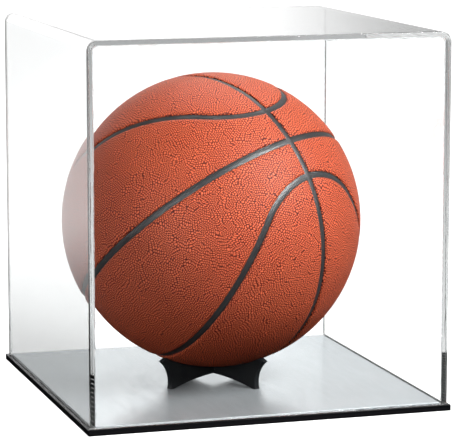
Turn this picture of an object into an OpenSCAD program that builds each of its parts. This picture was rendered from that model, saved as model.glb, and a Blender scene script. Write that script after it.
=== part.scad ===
// Tabletop display case for a full-size basketball.
// A clear cover lifts off a black base with a mirror floor, and the ball rests on a crossed-plate stand.

/* [Cover] */
// Outer width of the clear cover, left to right
cover_w = 290; // [270:1:320]
// Outer depth of the clear cover, front to back
cover_d = 290; // [270:1:320]
// Height of the clear cover above the base plate
cover_h = 295; // [280:1:330]
// Thickness of the clear sheet
sheet_t = 4; // [3:0.5:5]
// Inner radius of the two heat bends along the top edges
bend_r = 4; // [3:0.5:8]

/* [Base] */
// Width that the base plate shows outside the cover on every side
base_rim = 2.5; // [1:0.5:10]
// Thickness of the black base plate
base_t = 5; // [3:0.5:10]
// Thickness of the mirror sheet on the base plate
mirror_t = 1; // [1:0.5:3]
// Gap between the mirror sheet and the inside of the cover
mirror_gap = 1; // [0.5:0.5:3]

/* [Stand] */
// Thickness of the two stand plates
stand_t = 5; // [4:0.5:6]
// Distance from the stand's axis to the outer corner of each horn
horn_reach = 60.4; // [58:0.2:64]
// Width across the tip of each horn
horn_tip = 6; // [4:0.5:7]
// Slope of each horn's cut tip below the horizontal
horn_slope = 25; // [15:1:35]
// Distance from the stand's axis to the narrowest point of its hollowed ends
waist_reach = 50; // [48:0.5:52]
// Radius of the hollowed ends
waist_r = 22; // [20:0.5:26]
// Height of the narrowest point above the floor
waist_h = 5.5; // [4:0.5:8]
// Width of each flat foot
foot_w = 4; // [3:0.5:6]
// Height of the arch between the feet
arch_h = 6; // [5:0.5:7]
// Clearance on each side of the crossing slots
slot_gap = 0.1; // [0.05:0.05:0.3]
// Turn of the stand about its own axis, from the cover's sides
stand_turn = 28; // [0:1:90]
// Place of the stand's axis to the right of the case's centre
stand_x = -7; // [-12:1:12]
// Place of the stand's axis behind the case's centre
stand_y = -8; // [-12:1:12]

/* [Ball] */
// Outer diameter of the ball
ball_d = 240; // [236:1:246]
// Height of the ball's lowest point above the mirror
ball_rise = 13.5; // [13:0.5:16]
// Gap between the ball and the stand's cradle
cradle_gap = 0.3; // [0.2:0.1:0.5]
// Thickness of the leather panels
skin_t = 1.5; // [1:0.1:2.5]
// Width of the channels between the panels
channel_w = 5.5; // [4:0.5:8]
// Angle at the ball's centre from the middle of an oval to its two ends
oval_end = 74.5; // [72:0.5:76]
// Angle at the ball's centre from the middle of an oval to its two long sides
oval_side = 43.5; // [41:0.5:46]
// Thickness of the rubber and cord carcass under the skin
carcass_t = 1; // [0.8:0.1:2]
// Thickness of the air bladder
bladder_t = 0.6; // [0.5:0.1:1]
// Radius of the inflation valve's plug
valve_r = 3.5; // [3:0.5:5]
// Length of the inflation valve's plug
valve_l = 9; // [6:1:14]
// Compass direction in which the front seam crossing faces, from the +X axis
ball_turn = -66.6; // [-180:0.2:180]
// Angle of the front seam crossing above the ball's middle
ball_tilt = 38.4; // [-50:0.2:50]
// Lean of the straight seam about that crossing
ball_roll = 9.6; // [-90:0.2:90]

/* [Hidden] */
$fn = 96;
// Smoothness of the two large, shallow arcs of the stand
shallow_fn = 360;

// Gap between two shells of the ball, and around the valve
shell_gap = 0.1;
// Diameter of the inflation hole through the valve
needle_d = 1.6;
// What a cutting shape runs past the face it cuts
past = 1;

base_w = cover_w + 2 * base_rim;
base_d = cover_d + 2 * base_rim;
inner_w = cover_w - 2 * sheet_t;
inner_d = cover_d - 2 * sheet_t;
bend_outer_r = bend_r + sheet_t;

floor_z = base_t + mirror_t;
ball_r = ball_d / 2;
ball_z = floor_z + ball_rise + ball_r;

// The cradle is one arc about the ball's centre, here measured from the floor
cradle_r = ball_r + cradle_gap;
cradle_h = ball_rise + ball_r;
horn_inner = horn_reach - horn_tip * cos(horn_slope);
horn_inner_h = cradle_h - sqrt(cradle_r * cradle_r - horn_inner * horn_inner);
waist_u = waist_reach + waist_r;
foot_outer = waist_u - sqrt(waist_r * waist_r - waist_h * waist_h);
foot_inner = foot_outer - foot_w;
arch_r = (foot_inner * foot_inner + arch_h * arch_h) / (2 * arch_h);
web_mid_h = (arch_h + cradle_h - cradle_r) / 2;
slot_w = stand_t + 2 * slot_gap;

skin_in_r = ball_r - skin_t;
carcass_out_r = skin_in_r - shell_gap;
carcass_in_r = carcass_out_r - carcass_t;
bladder_out_r = carcass_in_r - shell_gap;
bladder_in_r = bladder_out_r - bladder_t;

// Each oval is four arcs on the ball: its sides lie in planes, and its ends on cones from the ball's centre.
// The cone that would just touch both sides leans this far from the oval's middle
end_lean = atan((sin(oval_end) - sin(oval_side)) / cos(oval_end));
// What the ends reach past that, so that they cross the sides
end_lap = 0.3;
// Half angle of the cones
end_span = oval_end - end_lean + asin(end_lap / ball_r);
// Where the ends take over from the sides, along the long seam
side_reach = ball_r * sin(end_lean)
    / sqrt(pow(sin(end_lean), 2) + pow(cos(end_lean) * cos(oval_side), 2));

// ---- Base: a flat plate with a mirror sheet that locates the cover ----

module base_plate() {
    color("black")
        translate([-base_w / 2, -base_d / 2, 0])
            cube([base_w, base_d, base_t]);
}

module mirror_panel() {
    mirror_w = inner_w - 2 * mirror_gap;
    mirror_d = inner_d - 2 * mirror_gap;
    color("lightsteelblue")
        translate([-mirror_w / 2, -mirror_d / 2, base_t])
            cube([mirror_w, mirror_d, mirror_t]);
}

// ---- Cover: one sheet bent over the left, top and right, between two flat panels ----

// A square-footed outline with its two upper corners rounded, seen from the front
module arch_outline(w, h, r) {
    translate([-w / 2, 0]) square([w, h - r]);
    translate([r - w / 2, 0]) square([w - 2 * r, h]);
    for (side = [-1, 1])
        translate([side * (w / 2 - r), h - r]) circle(r = r);
}

// Stands an outline drawn from the front upright, centred front to back
module upright(depth) {
    rotate([90, 0, 0])
        linear_extrude(height = depth, center = true) children();
}

module cover_wrap() {
    color("azure", 0.35)
        translate([0, 0, base_t])
            upright(inner_d)
                difference() {
                    arch_outline(cover_w, cover_h, bend_outer_r);
                    translate([0, -past])
                        arch_outline(inner_w, cover_h - sheet_t + past, bend_r);
                }
}

module end_panel(side) {
    color("lightcyan", 0.35)
        translate([0, side * (cover_d - sheet_t) / 2, base_t])
            upright(sheet_t) arch_outline(cover_w, cover_h, bend_outer_r);
}

module front_panel() {
    end_panel(-1);
}

module back_panel() {
    end_panel(1);
}

// ---- Stand: two matching plates, slotted across each other at the middle ----

// One plate's outline: cradle above, hollowed ends and a low arch between two feet
module stand_outline() {
    difference() {
        translate([-horn_reach, 0]) square([2 * horn_reach, horn_inner_h + past]);
        translate([0, cradle_h]) circle(r = cradle_r, $fn = shallow_fn);
        translate([0, arch_h - arch_r]) circle(r = arch_r, $fn = shallow_fn);
        for (side = [-1, 1]) {
            translate([side * waist_u, waist_h]) circle(r = waist_r);
            translate([side * horn_inner, horn_inner_h])
                rotate(-side * horn_slope)
                    translate([-horn_reach, 0]) square([2 * horn_reach, horn_reach]);
        }
    }
}

// Places a plate on the mirror, turned about the stand's own axis
module stand_place(turn) {
    translate([stand_x, stand_y, floor_z]) rotate(stand_turn + turn) children();
}

module stand_lower_plate() {
    color("dimgray")
        stand_place(0)
            upright(stand_t)
                difference() {
                    stand_outline();
                    translate([-slot_w / 2, web_mid_h - slot_gap])
                        square([slot_w, cradle_h]);
                }
}

module stand_upper_plate() {
    color("darkslategray")
        stand_place(90)
            upright(stand_t)
                difference() {
                    stand_outline();
                    translate([-slot_w / 2, -past])
                        square([slot_w, web_mid_h + slot_gap + past]);
                }
}

// ---- Ball: eight panels over a carcass and a bladder, with one valve through them ----
// In the ball's own frame the straight seam lies level, the long seam stands across it along X,
// and the two cross at +X, where the ball faces front. The valve is at the opposite crossing.

module ball_place() {
    translate([stand_x, stand_y, ball_z])
        rotate([0, 0, ball_turn]) rotate([0, -ball_tilt, 0]) rotate([ball_roll, 0, 0])
            children();
}

// The half of space on the upper oval's side of one of its long sides, moved out by grow
module inside_long_side(side, grow) {
    rotate([side * (90 - oval_side), 0, 0])
        translate([0, 0, ball_d - grow])
            cube(2 * ball_d, center = true);
}

// Everything within the upper or lower oval, made wider or narrower by grow on every side
module within_oval(up_down, grow) {
    mirror([0, 0, (1 - up_down) / 2]) {
        for (end = [-1, 1])
            rotate([0, end * end_lean, 0])
                cylinder(h = ball_d, r1 = 0, r2 = ball_d * tan(end_span + asin(grow / ball_r)));
        intersection() {
            cube([2 * side_reach, 4 * ball_d, 4 * ball_d], center = true);
            inside_long_side(-1, grow);
            inside_long_side(1, grow);
        }
    }
}

// The skin before it is cut up, with its poles at the two seam crossings, off every panel
module whole_skin() {
    rotate([0, 90, 0])
        difference() {
            sphere(r = ball_r);
            sphere(r = skin_in_r);
        }
}

// The quarter of the skin above or below the straight seam and left or right of the long seam
module quarter(left_right, up_down) {
    middle = (channel_w + ball_d) / 2;
    intersection() {
        whole_skin();
        translate([0, left_right * middle, up_down * middle])
            cube([2 * ball_d, ball_d, ball_d], center = true);
    }
}

module oval_panel(left_right, up_down) {
    color("chocolate")
        ball_place()
            intersection() {
                quarter(left_right, up_down);
                within_oval(up_down, -channel_w / 2);
            }
}

module side_panel(left_right, up_down) {
    color("sienna")
        ball_place()
            difference() {
                quarter(left_right, up_down);
                within_oval(up_down, channel_w / 2);
            }
}

module oval_panel_upper_left() { oval_panel(-1, 1); }
module oval_panel_upper_right() { oval_panel(1, 1); }
module oval_panel_lower_left() { oval_panel(-1, -1); }
module oval_panel_lower_right() { oval_panel(1, -1); }
module side_panel_upper_left() { side_panel(-1, 1); }
module side_panel_upper_right() { side_panel(1, 1); }
module side_panel_lower_left() { side_panel(-1, -1); }
module side_panel_lower_right() { side_panel(1, -1); }

// A rod along the valve's direction, between two distances from the ball's centre
module valve_rod(r, from_r, to_r) {
    rotate([0, -90, 0])
        translate([0, 0, from_r]) cylinder(h = to_r - from_r, r = r);
}

// One closed layer of the ball with the valve's hole through it
module ball_layer(outer_r, inner_r) {
    difference() {
        sphere(r = outer_r);
        sphere(r = inner_r);
        valve_rod(valve_r + shell_gap, inner_r - valve_l, outer_r + valve_l);
    }
}

module ball_carcass() {
    color("darkgray") ball_place() ball_layer(carcass_out_r, carcass_in_r);
}

module ball_bladder() {
    color("slategray") ball_place() ball_layer(bladder_out_r, bladder_in_r);
}

module ball_valve() {
    valve_out_r = ball_r - skin_t / 2;
    color("gray")
        ball_place()
            difference() {
                valve_rod(valve_r, valve_out_r - valve_l, valve_out_r);
                valve_rod(needle_d / 2, valve_out_r - valve_l - past, valve_out_r + past);
            }
}

base_plate();
mirror_panel();
cover_wrap();
front_panel();
back_panel();
stand_lower_plate();
stand_upper_plate();
oval_panel_upper_left();
oval_panel_upper_right();
oval_panel_lower_left();
oval_panel_lower_right();
side_panel_upper_left();
side_panel_upper_right();
side_panel_lower_left();
side_panel_lower_right();
ball_carcass();
ball_bladder();
ball_valve();
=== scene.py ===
"""Looks of the ball display case: a clear cover on a black base with a silver floor, and a basketball
on its crossed-plate stand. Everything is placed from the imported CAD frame, in metres."""
import math

import bmesh
import bpy
import numpy as np
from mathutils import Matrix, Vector, noise


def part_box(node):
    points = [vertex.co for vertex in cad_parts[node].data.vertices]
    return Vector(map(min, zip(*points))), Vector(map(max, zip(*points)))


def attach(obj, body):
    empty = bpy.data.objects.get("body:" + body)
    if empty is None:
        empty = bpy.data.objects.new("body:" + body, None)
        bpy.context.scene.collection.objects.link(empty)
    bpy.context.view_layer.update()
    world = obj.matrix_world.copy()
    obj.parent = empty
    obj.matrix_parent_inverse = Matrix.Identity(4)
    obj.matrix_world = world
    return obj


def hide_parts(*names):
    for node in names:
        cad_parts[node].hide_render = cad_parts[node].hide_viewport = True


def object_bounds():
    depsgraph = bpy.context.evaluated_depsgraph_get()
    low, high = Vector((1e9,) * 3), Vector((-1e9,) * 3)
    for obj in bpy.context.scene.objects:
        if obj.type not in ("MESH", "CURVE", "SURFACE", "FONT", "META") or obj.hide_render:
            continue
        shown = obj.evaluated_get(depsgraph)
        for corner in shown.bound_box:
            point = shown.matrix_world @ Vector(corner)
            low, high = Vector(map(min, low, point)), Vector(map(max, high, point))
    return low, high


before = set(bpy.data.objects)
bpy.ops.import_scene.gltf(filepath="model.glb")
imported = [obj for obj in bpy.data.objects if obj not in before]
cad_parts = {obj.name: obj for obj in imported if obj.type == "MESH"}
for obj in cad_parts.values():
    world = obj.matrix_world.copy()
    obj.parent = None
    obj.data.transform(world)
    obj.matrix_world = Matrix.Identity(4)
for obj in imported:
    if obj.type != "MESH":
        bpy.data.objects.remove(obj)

cad_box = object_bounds()
MM = 0.001

# ---- Sizes read off the frame ----

case_low, case_high = cad_box
case_centre = (case_low + case_high) / 2
cover_low, cover_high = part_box("cover_wrap")
front_low, front_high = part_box("front_panel")
back_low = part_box("back_panel")[0]
floor_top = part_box("mirror_panel")[1].z
sheet_t = front_high.y - front_low.y

# Clear faces that are bonded together stand this far apart, so that light meets them one after the other
BOND_GAP = 0.03 * MM

# ---- Camera ----
# It stands left of the case's middle and a little above it, and looks down to the right.

CAMERA_TURN = math.radians(17.15)
CAMERA_DROP = math.radians(8.95)
CAMERA_DISTANCE = 2.1
CAMERA_LENS = 202.0
AIM = case_centre + Vector((9.1, 3.2, -13.6)) * MM


def heading(turn, rise):
    """A unit vector that points turn round from +Y towards +X, and rise above the horizon."""
    return Vector((math.sin(turn) * math.cos(rise), math.cos(turn) * math.cos(rise), math.sin(rise)))


def make_camera():
    look = heading(CAMERA_TURN, -CAMERA_DROP)
    camera = bpy.data.objects.new("camera", bpy.data.cameras.new("camera"))
    camera.data.lens = CAMERA_LENS
    camera.location = AIM - look * CAMERA_DISTANCE
    camera.rotation_mode = "QUATERNION"
    camera.rotation_quaternion = look.to_track_quat("-Z", "Y")
    bpy.context.scene.collection.objects.link(camera)
    bpy.context.scene.camera = camera


# ---- Node trees ----


def add(tree, kind, inputs=None, **settings):
    """Adds a node. Each input takes a plain value, or a socket that it is linked from."""
    made = tree.nodes.new(kind)
    for name, value in settings.items():
        setattr(made, name, value)
    for key, value in (inputs or {}).items():
        if isinstance(value, bpy.types.NodeSocket):
            tree.links.new(value, made.inputs[key])
        else:
            made.inputs[key].default_value = value
    return made


def new_material(name):
    """An empty material, its node tree and its object coordinates, which ride with the piece."""
    material = bpy.data.materials.new(name)
    material.use_nodes = True
    tree = material.node_tree
    tree.nodes.clear()
    place = add(tree, "ShaderNodeTexCoord").outputs["Object"]
    return material, tree, place


def show(tree, shader):
    add(tree, "ShaderNodeOutputMaterial", {"Surface": shader})


def speckle(tree, place, size, detail=3.0, stretch=(1, 1, 1)):
    """Soft noise with blotches about size metres across, from 0 to 1."""
    squeezed = add(tree, "ShaderNodeMapping", {"Vector": place, "Scale": stretch}).outputs[0]
    return add(
        tree, "ShaderNodeTexNoise", {"Vector": squeezed, "Scale": 1 / size, "Detail": detail}
    ).outputs["Fac"]


def between(tree, value, low, high, start=0.0, end=1.0):
    """value from start to end, as a number from low to high."""
    return add(
        tree,
        "ShaderNodeMapRange",
        {"Value": value, "From Min": start, "From Max": end, "To Min": low, "To Max": high},
        interpolation_type="SMOOTHSTEP",
    ).outputs["Result"]


def blend_colours(tree, share, first, second):
    mixed = add(tree, "ShaderNodeMix", {0: share, 6: first, 7: second}, data_type="RGBA")
    return mixed.outputs[2]


def bump(tree, height, depth, strength=1.0, normal=None):
    """A normal that shows height as a relief of depth metres."""
    inputs = {"Height": height, "Distance": depth, "Strength": strength}
    if normal is not None:
        inputs["Normal"] = normal
    return add(tree, "ShaderNodeBump", inputs).outputs["Normal"]


def painted_edge_highlight(tree, amount):
    """0 on flat faces, rising to amount along outer edges, where it paints a highlight."""
    pointy = add(tree, "ShaderNodeNewGeometry").outputs["Pointiness"]
    return between(tree, pointy, 0.0, amount, 0.52, 0.62)


# ---- Materials ----

PEBBLE_PITCH = 2.1 * MM
# The mesh attribute that tells the leather where on its flat grid each corner lies
PEBBLE_GRID = "pebble_grid"


def clear_acrylic():
    """Polished clear sheet. Lamp light and scattered light pass straight through it."""
    material, tree, place = new_material("clear_acrylic")
    ripple = speckle(tree, place, 60 * MM)
    haze = between(tree, speckle(tree, place, 15 * MM, 6.0), 0.0, 0.012, 0.5, 0.8)
    cloud = speckle(tree, place, 90 * MM)
    tint = blend_colours(tree, cloud, (0.985, 0.992, 0.992, 1), (0.975, 0.985, 0.985, 1))
    sheet = add(
        tree,
        "ShaderNodeBsdfPrincipled",
        {
            "Base Color": tint,
            "Roughness": haze,
            "IOR": 1.49,
            "Transmission Weight": 1.0,
            "Normal": bump(tree, ripple, 0.05 * MM, 0.2),
        },
    ).outputs[0]
    open_way = add(tree, "ShaderNodeBsdfTransparent", {"Color": (0.96, 0.97, 0.97, 1)}).outputs[0]
    rays = add(tree, "ShaderNodeLightPath").outputs
    for kind in ("Is Shadow Ray", "Is Diffuse Ray"):
        sheet = add(tree, "ShaderNodeMixShader", {0: rays[kind], 1: sheet, 2: open_way}).outputs[0]
    show(tree, sheet)
    return material


def silver_floor():
    """Silvered acrylic sheet, a little soft, so that what stands on it shows and what is far off blurs."""
    material, tree, place = new_material("silver_floor")
    cloud = speckle(tree, place, 45 * MM, 4.0)
    scuffs = speckle(tree, place, 4 * MM, 6.0, (1, 0.15, 1))
    colour = blend_colours(tree, cloud, (0.69, 0.73, 0.76, 1), (0.76, 0.80, 0.82, 1))
    rough = between(tree, scuffs, 0.18, 0.26, 0.3, 0.7)
    sheet = add(
        tree,
        "ShaderNodeBsdfPrincipled",
        {
            "Base Color": colour,
            "Metallic": 0.55,
            "Roughness": rough,
            "Normal": bump(tree, cloud, 0.02 * MM, 0.3),
        },
    )
    show(tree, sheet.outputs[0])
    return material


def black_acrylic():
    """Glossy black base plate with faint wiping marks and a painted highlight along its edges."""
    material, tree, place = new_material("black_acrylic")
    marks = speckle(tree, place, 18 * MM, 6.0, (1, 0.4, 1))
    # Painted highlight: the black turns lighter along the plate's edges.
    edges = painted_edge_highlight(tree, 0.15)
    colour = blend_colours(tree, edges, (0.0015, 0.0015, 0.002, 1), (0.03, 0.03, 0.033, 1))
    plate = add(
        tree,
        "ShaderNodeBsdfPrincipled",
        {
            "Base Color": colour,
            "Roughness": between(tree, marks, 0.06, 0.16, 0.35, 0.7),
            "Specular IOR Level": 0.08,
            "Normal": bump(tree, marks, 0.01 * MM, 0.3),
        },
    )
    show(tree, plate.outputs[0])
    return material


def satin_black():
    """Satin black stand plates with fine saw marks and a painted highlight along their edges."""
    material, tree, place = new_material("satin_black")
    grain = speckle(tree, place, 1.2 * MM, 4.0)
    cloud = speckle(tree, place, 20 * MM)
    face = blend_colours(tree, cloud, (0.008, 0.009, 0.010, 1), (0.016, 0.017, 0.019, 1))
    # Painted highlight: the black turns lighter along the plates' edges.
    colour = blend_colours(tree, painted_edge_highlight(tree, 0.5), face, (0.09, 0.09, 0.10, 1))
    plate = add(
        tree,
        "ShaderNodeBsdfPrincipled",
        {
            "Base Color": colour,
            "Roughness": between(tree, grain, 0.28, 0.42, 0.3, 0.7),
            "Specular IOR Level": 0.25,
            "Normal": bump(tree, grain, 0.02 * MM, 0.1),
        },
    )
    show(tree, plate.outputs[0])
    return material


def vector_math(tree, operation, inputs):
    return add(tree, "ShaderNodeVectorMath", inputs, operation=operation).outputs


def pebbles(tree, grid):
    """Round bumps in slightly wandering hexagonal rows: from -1.5 between them to 3 on their tops."""
    drift = add(
        tree, "ShaderNodeTexNoise", {"Vector": grid, "Scale": 1 / (5 * PEBBLE_PITCH), "Detail": 2.0}
    ).outputs["Color"]
    centred = vector_math(tree, "SUBTRACT", {0: drift, 1: (0.5, 0.5, 0.5)})[0]
    shift = vector_math(tree, "SCALE", {0: centred, "Scale": 4 * PEBBLE_PITCH})[0]
    wandering = vector_math(tree, "ADD", {0: grid, 1: shift})[0]
    rate = 4 * math.pi / (math.sqrt(3) * PEBBLE_PITCH)
    height = 0.0
    for turn in (0, math.pi / 3, 2 * math.pi / 3):
        across = (rate * math.cos(turn), rate * math.sin(turn), 0)
        phase = vector_math(tree, "DOT_PRODUCT", {0: wandering, 1: across})["Value"]
        wave = add(tree, "ShaderNodeMath", {0: phase}, operation="COSINE").outputs[0]
        height = add(tree, "ShaderNodeMath", {0: wave, 1: height}, operation="ADD").outputs[0]
    return height


def pebbled_leather():
    """Orange leather: round pebbles, with painted shade in the deeper places between them."""
    material, tree, place = new_material("pebbled_leather")
    grid = add(tree, "ShaderNodeAttribute", attribute_name=PEBBLE_GRID).outputs["Vector"]
    raised = between(tree, pebbles(tree, grid), 0.0, 1.0, -1.1, 0.9)
    fibres = speckle(tree, place, 0.5 * MM, 5.0)
    patches = speckle(tree, place, 55 * MM, 3.0)
    top = blend_colours(tree, patches, (0.80, 0.135, 0.055, 1), (0.90, 0.18, 0.075, 1))
    # Painted shade: the colour turns dark brown in the dips between the pebbles, where shade falls.
    leather = blend_colours(tree, raised, (0.07, 0.004, 0.002, 1), top)
    skin = add(
        tree,
        "ShaderNodeBsdfPrincipled",
        {
            "Base Color": leather,
            "Roughness": between(tree, fibres, 0.42, 0.58, 0.3, 0.7),
            "Specular IOR Level": 0.2,
            "Normal": bump(tree, raised, 0.35 * MM, 0.35, bump(tree, fibres, 0.05 * MM, 0.3)),
        },
    )
    show(tree, skin.outputs[0])
    return material


def black_rubber(name, shade, rough, grain_size):
    """Moulded black rubber with a fine grain and dusty, paler patches."""
    material, tree, place = new_material(name)
    grain = speckle(tree, place, grain_size, 4.0)
    dust = between(tree, speckle(tree, place, 25 * MM, 5.0), 0.0, 0.5, 0.45, 0.8)
    dark = (shade, shade, shade * 1.05, 1)
    pale = (shade * 2.5, shade * 2.5, shade * 2.5, 1)
    rubber = add(
        tree,
        "ShaderNodeBsdfPrincipled",
        {
            "Base Color": blend_colours(tree, dust, dark, pale),
            "Roughness": between(tree, grain, rough, rough + 0.15, 0.3, 0.7),
            "Normal": bump(tree, grain, 0.06 * MM, 0.4),
        },
    )
    show(tree, rubber.outputs[0])
    return material


def clear_cement():
    """Set solvent cement that has run along an inner corner: clear, uneven, with fine bubbles."""
    material, tree, place = new_material("clear_cement")
    cells = add(tree, "ShaderNodeTexVoronoi", {"Vector": place, "Scale": 1 / (1.6 * MM)})
    waves = speckle(tree, place, 5 * MM, 3.0)
    tint = blend_colours(tree, waves, (0.86, 0.88, 0.90, 1), (0.97, 0.98, 0.98, 1))
    cement = add(
        tree,
        "ShaderNodeBsdfPrincipled",
        {
            "Base Color": tint,
            "Roughness": between(tree, waves, 0.0, 0.08, 0.4, 0.7),
            "IOR": 1.47,
            "Transmission Weight": 1.0,
            "Normal": bump(
                tree, cells.outputs["Distance"], 0.3 * MM, 0.5, bump(tree, waves, 0.6 * MM, 0.6)
            ),
        },
    )
    show(tree, cement.outputs[0])
    return material


# ---- Pieces made from a CAD node's own shape ----

SHEET_EDGE = 0.35 * MM
PLATE_EDGE = 0.5 * MM
MIRROR_EDGE = 0.2 * MM


def finish_piece(piece, body, material, nodes=()):
    """Gives a piece its material, ties it to its body and hides the CAD nodes that it stands for."""
    piece.data.materials.clear()
    piece.data.materials.append(material)
    bpy.context.scene.collection.objects.link(piece)
    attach(piece, body)
    if nodes:
        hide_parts(*nodes)
    return piece


def edges_over(shape, angle):
    """The edges where two faces turn by more than angle."""
    return [e for e in shape.edges if e.is_manifold and e.calc_face_angle(0) > angle]


def softened(name, node, body, material, radius, segments=2, trim=0.0):
    """The node's shape with its sharp edges rounded to radius, and trim taken off its front and back."""
    shape = bmesh.new()
    shape.from_mesh(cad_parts[node].data)
    for corner in shape.verts:
        corner.co.y -= math.copysign(trim, corner.co.y)
    bmesh.ops.remove_doubles(shape, verts=shape.verts, dist=0.001 * MM)
    bmesh.ops.dissolve_limit(
        shape, angle_limit=math.radians(1), verts=shape.verts, edges=shape.edges
    )
    bmesh.ops.bevel(
        shape,
        geom=edges_over(shape, math.radians(40)),
        offset=radius,
        segments=segments,
        profile=0.5,
        affect="EDGES",
        clamp_overlap=True,
    )
    mesh = bpy.data.meshes.new(name)
    shape.to_mesh(mesh)
    shape.free()
    mesh.shade_smooth()
    piece = finish_piece(bpy.data.objects.new(name, mesh), body, material, [node])
    piece.modifiers.new("even_normals", "WEIGHTED_NORMAL").weight = 100
    return piece


def make_case(materials):
    clear = materials["clear"]
    softened("bent_cover_sheet", "cover_wrap", "cover", clear, SHEET_EDGE, trim=BOND_GAP)
    softened("front_sheet", "front_panel", "cover", clear, SHEET_EDGE)
    softened("back_sheet", "back_panel", "cover", clear, SHEET_EDGE)
    softened("base", "base_plate", "base", materials["black"], PLATE_EDGE, segments=3)
    silver = softened("floor_mirror", "mirror_panel", "base", materials["silver"], MIRROR_EDGE)
    # The mirror is seen, but it throws no light on to matt or glossy faces, such as the ball's underside
    silver.visible_diffuse = False
    silver.visible_glossy = False


def make_stand(materials):
    for level in ("lower", "upper"):
        softened(
            f"stand_{level}",
            f"stand_{level}_plate",
            "stand",
            materials["stand"],
            PLATE_EDGE,
            segments=3,
        )


# ---- Cement along the cover's inner corners ----

# Inner radius of the bent sheet's two bends
INNER_BEND = 4 * MM
# Distance between a bead's slices, and points across its rounded face
BEAD_STEP = 1.5 * MM
BEAD_SIDES = 6
# Height above the floor at which a bead starts
BEAD_LOW = 2 * MM
# A bead's least thickness, what it swells by at most, and how fast that changes from slice to slice
BEAD_THIN = 0.35 * MM
BEAD_SWELL = 0.9 * MM
BEAD_WAVE = 0.21


def inner_arch():
    """Points up the left wall, over the bend, along the top and down the right wall."""
    left = cover_low.x + sheet_t
    right = cover_high.x - sheet_t
    top = cover_high.z - sheet_t
    low = floor_top + BEAD_LOW
    corners = [Vector((x, 0, z)) for x, z in ((left, low), (left, top), (right, top), (right, low))]
    line = [corners[0]]
    for before, corner, after in zip(corners, corners[1:], corners[2:]):
        line += rounded(before, corner, after, INNER_BEND)
    return stepped(line + [corners[-1]], BEAD_STEP)


def rounded(before, corner, after, radius, steps=6):
    """The points of an arc that rounds off a square corner."""
    back = (before - corner).normalized() * radius
    ahead = (after - corner).normalized() * radius
    centre = corner + back + ahead
    turns = [math.pi / 2 * i / steps for i in range(steps + 1)]
    return [centre - ahead * math.cos(t) - back * math.sin(t) for t in turns]


def stepped(line, step):
    """The same line with a point every step."""
    points = [line[0]]
    for start, end in zip(line, line[1:]):
        count = max(1, round((end - start).length / step))
        points += [start.lerp(end, (i + 1) / count) for i in range(count)]
    return points


def bead_ring(corner, inward, into, reach):
    """One slice of a bead: a quarter circle of radius reach about the corner, then the corner itself."""
    ring = []
    for k in range(BEAD_SIDES):
        angle = math.pi / 2 * k / (BEAD_SIDES - 1)
        across = Vector((0, into * reach * math.sin(angle), 0)) + inward * reach * math.cos(angle)
        ring.append(corner + across)
    return ring + [corner]


def make_cement(name, y, into, material):
    """A thin uneven bead where the bent sheet meets a flat one; into is +1 or -1 along Y, into the case."""
    line = inner_arch()
    middle = Vector((0, 0, (cover_low.z + cover_high.z) / 2))
    shape = bmesh.new()
    rings = []
    for i, point in enumerate(line):
        along = (line[min(i + 1, len(line) - 1)] - line[max(i - 1, 0)]).normalized()
        inward = along.cross(Vector((0, 1, 0)))
        if inward.dot(middle - point) < 0:
            inward.negate()
        wave = 0.5 + 0.5 * noise.noise(Vector((i * BEAD_WAVE, y * 10, 0)))
        reach = BEAD_THIN + BEAD_SWELL * wave * wave
        corner = point + Vector((0, y + into * BOND_GAP, 0)) + inward * BOND_GAP
        rings.append([shape.verts.new(place) for place in bead_ring(corner, inward, into, reach)])
    sides = len(rings[0])
    for ring, following in zip(rings, rings[1:]):
        for k in range(sides):
            turned = (k + 1) % sides
            shape.faces.new((ring[k], ring[turned], following[turned], following[k]))
    shape.faces.new(rings[0])
    shape.faces.new(reversed(rings[-1]))
    bmesh.ops.recalc_face_normals(shape, faces=shape.faces)
    mesh = bpy.data.meshes.new(name)
    shape.to_mesh(mesh)
    shape.free()
    mesh.shade_smooth()
    finish_piece(bpy.data.objects.new(name, mesh), "cover", material)


# ---- Ball ----
# In the ball's own frame the straight seam is level, the long seam stands across it along X,
# and the valve is at -X. Points on the ball are unit vectors there.

KINDS = ("oval", "side")
LEVELS = ("upper", "lower")
HALVES = ("left", "right")
PANELS = [f"{kind}_panel_{level}_{half}" for kind in KINDS for level in LEVELS for half in HALVES]
# Rows of squares along each side of the six patches that a ball is built from
PATCH_ROWS = 160
CARCASS_ROWS = 118
INNER_ROWS = 48
# A panel's face rolls down by SHOULDER_DROP over its last SHOULDER towards a channel
SHOULDER = 2.2 * MM
SHOULDER_DROP = 0.85 * MM
# The rib along a channel's bottom takes up RIB_SHARE of its width, and stops VALVE_CLEAR from the valve
RIB_HEIGHT = 0.45 * MM
RIB_SHARE = 0.8
VALVE_CLEAR = 4 * MM
VALVE_FADE = 2 * MM
# Points round the valve
VALVE_SIDES = 48


def points_of(*nodes):
    return np.vstack([[v.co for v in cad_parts[n].data.vertices] for n in nodes]).astype(float)


def surface_middle(nodes):
    """The middle of the nodes' whole surface, each part counted by its area."""
    parts = [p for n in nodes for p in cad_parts[n].data.polygons]
    areas = np.array([p.area for p in parts])
    return areas @ np.array([p.center for p in parts]) / areas.sum()


def sphere_centre(points):
    """The centre of the sphere that points lie on, by least squares."""
    rows = np.c_[2 * points, np.ones(len(points))]
    return np.linalg.lstsq(rows, (points**2).sum(1), rcond=None)[0][:3]


def unit(vectors):
    return vectors / np.linalg.norm(vectors, axis=-1, keepdims=True)


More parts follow.
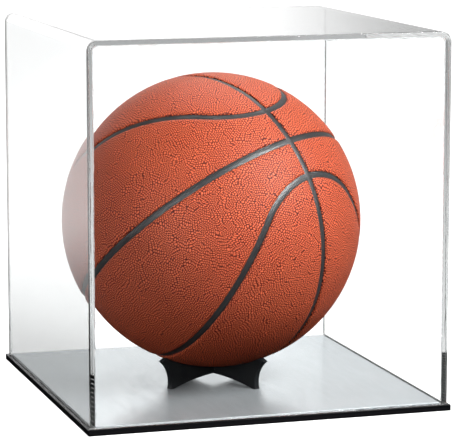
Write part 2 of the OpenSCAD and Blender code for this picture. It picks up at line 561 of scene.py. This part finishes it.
class Ball:
    """The ball's place, turn and seams, read off its CAD nodes."""

    def __init__(self):
        shell = points_of("ball_carcass")
        out = np.linalg.norm(shell - surface_middle(["ball_carcass"]), axis=1)
        self.centre = sphere_centre(shell[out > (out.min() + out.max()) / 2])
        self.carcass_r = np.linalg.norm(shell - self.centre, axis=1).max()
        self.carcass_in_r = np.linalg.norm(shell - self.centre, axis=1).min()

        uppers, lowers = ([n for n in PANELS if level in n] for level in LEVELS)
        x = unit(self.centre - surface_middle(["ball_valve"]))
        z = surface_middle(uppers) - surface_middle(lowers)
        z = unit(z - x * (z @ x))
        self.axes = np.array([x, np.cross(z, x), z]).T

        skin = self.own(points_of(*PANELS))
        self.r = np.linalg.norm(skin, axis=1).max()
        self.skin_in_r = np.linalg.norm(skin, axis=1).min()
        self.half_gap = np.abs(skin[:, 1]).min()
        ovals = unit(self.own(points_of(*[n for n in PANELS if "oval" in n])))
        edge = np.arcsin(self.half_gap / self.r)
        self.oval_end = np.arccos(np.abs(ovals[:, 2])).max() + edge
        on_middle = np.abs(ovals[:, 0]) < 0.05
        self.oval_side = np.arccos(np.abs(ovals[on_middle, 2])).max() + edge

    def own(self, points):
        """Points of the row frame, in the ball's own frame."""
        return (points - self.centre) @ self.axes

    def world(self, points):
        """Points of the ball's own frame, in the row frame."""
        return points @ self.axes.T + self.centre

    def from_oval(self, p):
        """Metres from the middle of the nearer oval channel, negative inside the oval. Each oval is four
        arcs that meet smoothly: its long sides lie in planes, its ends on cones that lean from its middle."""
        lean = math.atan((math.sin(self.oval_end) - math.sin(self.oval_side)) / math.cos(self.oval_end))
        side = np.array([0, -math.cos(self.oval_side), math.sin(self.oval_side)])
        end = np.array([math.sin(lean), 0, math.cos(lean)])
        q = np.abs(p)
        past_end = np.arccos(np.clip(q @ end, -1, 1)) - (self.oval_end - lean)
        past_side = -np.arcsin(np.clip(q @ side, -1, 1))
        return self.r * np.where(q @ np.cross(end, side) > 0, past_end, past_side)

    def from_any_seam(self, p):
        """Metres from the middle of the nearest channel."""
        level_or_long = np.abs(p[:, 1:]).min(1) * self.r
        return np.minimum(level_or_long, np.abs(self.from_oval(p)))

    def within_panel(self, p, node):
        """Metres from a panel's border, positive on the panel."""
        left_right = -1 if "left" in node else 1
        up_down = 1 if "upper" in node else -1
        from_oval = self.from_oval(p) * (-1 if "oval" in node else 1)
        from_long = left_right * p[:, 1] * self.r
        from_straight = up_down * p[:, 2] * self.r
        return np.minimum.reduce([from_oval, from_long, from_straight]) - self.half_gap


def ball_grid(rows):
    """Unit vectors and quads of a ball built from six square patches."""
    angles = np.tan(np.linspace(-math.pi / 4, math.pi / 4, rows + 1))
    u, v = np.meshgrid(angles, angles, indexing="ij")
    corner = (np.arange(rows)[:, None] * (rows + 1) + np.arange(rows)[None, :]).ravel()
    patch_quads = np.stack([corner, corner + rows + 1, corner + rows + 2, corner + 1], axis=1)
    points, quads = [], []
    for axis in range(3):
        for sign in (1, -1):
            patch = np.zeros((u.size, 3))
            patch[:, axis] = sign
            patch[:, (axis + 1) % 3] = u.ravel()
            patch[:, (axis + 2) % 3] = sign * v.ravel()
            points.append(unit(patch))
            quads.append(patch_quads + len(quads) * u.size)
    every = np.vstack(points)
    _, first, same = np.unique(np.round(every, 7), axis=0, return_index=True, return_inverse=True)
    return every[first], same.reshape(-1)[np.vstack(quads)]


def to_border(p, within, passes=8):
    """Moves unit vectors along the ball to where within is 0."""
    tiny = 1e-4
    for _ in range(passes):
        helper = np.where(np.abs(p[:, :1]) < 0.8, [[1.0, 0, 0]], [[0, 1.0, 0]])
        east = unit(np.cross(helper, p))
        north = np.cross(p, east)
        slopes = [
            (within(unit(p + t * tiny)) - within(unit(p - t * tiny))) / (2 * tiny) for t in (east, north)
        ]
        steep = slopes[0] ** 2 + slopes[1] ** 2 + 1e-12
        back = -within(p) / steep
        p = unit(p + (back * slopes[0])[:, None] * east + (back * slopes[1])[:, None] * north)
    return p


def rim_of(faces):
    """The directed edges that only one face has."""
    edges = np.vstack([faces[:, [k, (k + 1) % 4]] for k in range(4)])
    known = {tuple(e) for e in edges}
    return np.array([e for e in known if (e[1], e[0]) not in known])


def mesh_object(name, points, faces):
    mesh = bpy.data.meshes.new(name)
    mesh.from_pydata(points.tolist(), [], faces.tolist())
    mesh.validate()
    mesh.shade_smooth()
    return bpy.data.objects.new(name, mesh)


def lay_pebbles(mesh, ball, directions, faces):
    """Gives every corner of every face its place in metres on the flat grid that the pebbles lie on."""
    corners = directions[faces]
    # Each of the ball's six sides has its own stretch of the grid, a metre from the next
    along = np.abs(corners.mean(1)).argmax(1)
    lead, first, second = (corners[np.arange(len(faces)), :, (along + k) % 3] for k in range(3))
    apart = (along * 2 + (lead[:, 0] > 0))[:, None]
    angles = [np.arctan(first / lead), np.arctan(second / lead), np.zeros_like(lead)]
    grid = np.stack(angles, axis=2) * ball.r
    grid[:, :, 0] += apart
    mesh.attributes.new(PEBBLE_GRID, "FLOAT_VECTOR", "CORNER").data.foreach_set("vector", grid.ravel())


def make_panel(ball, node, points, quads, material):
    """One leather panel: a closed shell whose outer face rolls down towards the channels."""

    def within(p):
        return ball.within_panel(p, node)

    # Points outside the panel, or less than margin into it, are moved on to its border
    cell = math.pi / 2 * ball.r / PATCH_ROWS
    margin = 0.3 * cell
    depth = within(points)
    chosen = quads[(depth[quads] > margin).any(1)]
    used, faces = np.unique(chosen, return_inverse=True)
    faces = faces.reshape(-1, 4)
    p = points[used]
    near = depth[used] < margin
    p[near] = to_border(p[near], within)
    faces = faces[~near[faces].all(1)]
    inside = np.clip(within(p) / SHOULDER, 0, 1)
    drop = SHOULDER_DROP * (1 - np.sqrt(1 - (1 - inside) ** 2))
    outer = p * (ball.r - drop)[:, None]
    inner = p * ball.skin_in_r
    rim = rim_of(faces)
    wall = np.c_[rim[:, 1], rim[:, 0], rim[:, 0] + len(p), rim[:, 1] + len(p)]
    everything = np.vstack([faces, faces[:, ::-1] + len(p), wall])
    name = node.replace("panel", "leather")
    piece = mesh_object(name, ball.world(np.vstack([outer, inner])), everything)
    piece.data.set_sharp_from_angle(angle=math.radians(50))
    lay_pebbles(piece.data, ball, np.vstack([p, p]), everything)
    finish_piece(piece, "ball", material, [node])


def make_carcass(ball, material):
    """The rubber carcass, with a low rounded rib along the bottom of each channel and a plain inside."""
    points, quads = ball_grid(CARCASS_ROWS)
    plain_points, plain_quads = ball_grid(INNER_ROWS)
    across = np.clip(ball.from_any_seam(points) / (RIB_SHARE * ball.half_gap), 0, 1)
    from_valve = np.linalg.norm(points + [1, 0, 0], axis=1) * ball.r
    share = np.clip((from_valve - VALVE_CLEAR) / VALVE_FADE, 0, 1)
    rib = RIB_HEIGHT * np.sqrt(1 - across**2) * share
    outer = points * (ball.carcass_r + rib)[:, None]
    inner = plain_points * ball.carcass_in_r
    everything = np.vstack([quads, plain_quads[:, ::-1] + len(points)])
    piece = mesh_object("carcass", ball.world(np.vstack([outer, inner])), everything)
    finish_piece(piece, "ball", material, ["ball_carcass"])


def make_valve(ball, material):
    """The inflation valve: a rubber plug with a dished face, a raised lip and a needle hole."""
    own = ball.own(points_of("ball_valve"))
    radius = np.hypot(own[:, 1], own[:, 2]).max()
    hole = np.hypot(own[:, 1], own[:, 2]).min()
    face = -own[:, 0].min()
    tail = -own[:, 0].max()
    # Radius and distance from the ball's centre, from the hole's inner end round the outside and back
    profile = [
        (hole, tail),
        (radius, tail),
        (radius, face - 0.5 * MM),
        (radius - 0.3 * MM, face),
        (radius - 0.9 * MM, face),
        (radius - 1.4 * MM, face - 0.5 * MM),
        (hole + 0.9 * MM, face - 0.5 * MM),
        (hole + 0.6 * MM, face - 0.2 * MM),
        (hole, face - 0.5 * MM),
    ]
    turns = np.linspace(0, 2 * math.pi, VALVE_SIDES, endpoint=False)
    points = np.array([(-x, r * math.cos(t), r * math.sin(t)) for t in turns for r, x in profile])
    count = len(profile)
    starts = [i * count for i in range(VALVE_SIDES)]
    faces = np.array(
        [
            (start + k, start + (k + 1) % count, following + (k + 1) % count, following + k)
            for start, following in zip(starts, starts[1:] + starts[:1])
            for k in range(count)
        ]
    )
    piece = mesh_object("valve", ball.world(points), faces)
    piece.data.set_sharp_from_angle(angle=math.radians(40))
    finish_piece(piece, "ball", material, ["ball_valve"])


def make_ball(materials):
    ball = Ball()
    points, quads = ball_grid(PATCH_ROWS)
    for node in PANELS:
        make_panel(ball, node, points, quads, materials["leather"])
    make_carcass(ball, materials["channel"])
    make_valve(ball, materials["valve"])
    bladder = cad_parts["ball_bladder"]
    bladder.data.materials.clear()
    bladder.data.materials.append(materials["bladder"])


# ---- Stage: a white floor, soft studio light ----

# Half the studio floor's width, and its distance below the base plate
FLOOR_HALF = 100.0
FLOOR_GAP = 0.02 * MM
# The black cloth round the case thins out over this distance behind it
CLOTH_FADE = 0.8


def seen_once(tree):
    """1 for light that reached the eye over a single reflection, else 0."""
    mirrored = add(tree, "ShaderNodeLightPath").outputs["Glossy Depth"]
    return add(tree, "ShaderNodeMath", {0: mirrored, 1: 1.0, 2: 0.5}, operation="COMPARE").outputs[0]


def edge_light(tree):
    """1 for light that came directly or over one reflection, less for light led along inside a sheet."""
    mirrored = add(tree, "ShaderNodeLightPath").outputs["Glossy Depth"]
    return between(tree, mirrored, 1.0, 0.4, 1.0, 2.0)


def product(tree, first, second):
    return add(tree, "ShaderNodeMath", {0: first, 1: second}, operation="MULTIPLY").outputs[0]


def make_floor():
    """A wide white floor that the case stands on. Over a single reflection it is dark, and less so behind
    the case, as if black cloth lay round the case, so that no sheet veils what is behind it."""
    material, tree, place = new_material("studio_floor")
    behind = add(tree, "ShaderNodeSeparateXYZ", {"Vector": place}).outputs["Y"]
    near = between(tree, behind, 1.0, 0.4, case_high.y, case_high.y + CLOTH_FADE)
    cloth = product(tree, seen_once(tree), near)
    white = blend_colours(tree, speckle(tree, place, 0.4), (0.38, 0.38, 0.38, 1), (0.42, 0.42, 0.42, 1))
    floor = add(
        tree,
        "ShaderNodeBsdfPrincipled",
        {
            "Base Color": blend_colours(tree, cloth, white, (0, 0, 0, 1)),
            "Roughness": 0.9,
            "Specular IOR Level": 0.0,
            "Emission Color": blend_colours(tree, cloth, (1, 1, 1, 1), (0, 0, 0, 1)),
            "Emission Strength": between(tree, edge_light(tree), 0.0, 1.25),
        },
    )
    show(tree, floor.outputs[0])
    corners = FLOOR_HALF * np.array([(-1, -1, 0), (1, -1, 0), (1, 1, 0), (-1, 1, 0)])
    piece = mesh_object("studio_floor", corners, np.array([[0, 1, 2, 3]]))
    piece.location.z = case_low.z - FLOOR_GAP
    piece.data.materials.append(material)
    piece.visible_diffuse = False
    bpy.context.scene.collection.objects.link(piece)


def make_world():
    """A white band above the horizon in a dark room, so that clear edges show. It lights matt faces less,
    and reflections show it darker on the right."""
    world = bpy.data.worlds.new("studio")
    world.use_nodes = True
    tree = world.node_tree
    tree.nodes.clear()
    place = add(tree, "ShaderNodeTexCoord").outputs["Generated"]
    way = add(tree, "ShaderNodeSeparateXYZ", {"Vector": place}).outputs
    band = product(
        tree, between(tree, way["Z"], 0.0, 1.0, -0.1, -0.05), between(tree, way["Z"], 1.45, 0.1, 0.25, 0.5)
    )
    right = product(tree, seen_once(tree), between(tree, way["X"], 0.0, 1.0, 0.24, 0.42))
    scattered = add(tree, "ShaderNodeLightPath").outputs["Diffuse Depth"]
    share = product(tree, between(tree, right, 1.0, 0.15), between(tree, scattered, 1.0, 0.35))
    light = product(tree, product(tree, band, share), edge_light(tree))
    background = add(tree, "ShaderNodeBackground", {"Color": (1, 1, 1, 1), "Strength": light})
    add(tree, "ShaderNodeOutputWorld", {"Surface": background.outputs[0]})
    bpy.context.scene.world = world


def make_lamp(name, turn, rise, distance, size, power):
    """A square softbox that faces the case from turn degrees right of the camera, rise degrees up."""
    way = heading(CAMERA_TURN + math.pi - math.radians(turn), math.radians(rise))
    lamp = bpy.data.objects.new(name, bpy.data.lights.new(name, "AREA"))
    lamp.data.size = size
    lamp.data.energy = power
    lamp.location = case_centre + way * distance
    lamp.rotation_mode = "QUATERNION"
    lamp.rotation_quaternion = (-way).to_track_quat("-Z", "Y")
    bpy.context.scene.collection.objects.link(lamp)


def make_stage():
    make_floor()
    make_world()
    make_lamp("key", turn=56, rise=36, distance=1.6, size=0.8, power=46)
    make_lamp("fill", turn=-25, rise=14, distance=2.0, size=1.2, power=17)
    make_lamp("back", turn=175, rise=60, distance=1.8, size=1.0, power=16)
    bpy.context.scene.view_settings.view_transform = "Standard"
    cycles = bpy.context.scene.cycles
    cycles.max_bounces = cycles.glossy_bounces = cycles.transmission_bounces = 40


materials = {
    "clear": clear_acrylic(),
    "silver": silver_floor(),
    "black": black_acrylic(),
    "stand": satin_black(),
    "leather": pebbled_leather(),
    "channel": black_rubber("channel_rubber", shade=0.02, rough=0.35, grain_size=0.8 * MM),
    "bladder": black_rubber("bladder_rubber", shade=0.03, rough=0.55, grain_size=1.5 * MM),
    "valve": black_rubber("valve_rubber", shade=0.03, rough=0.45, grain_size=0.5 * MM),
}
make_camera()
make_stage()
make_case(materials)
make_stand(materials)
cement = clear_cement()
make_cement("front_cement", front_high.y, 1, cement)
make_cement("back_cement", back_low.y, -1, cement)
make_ball(materials)
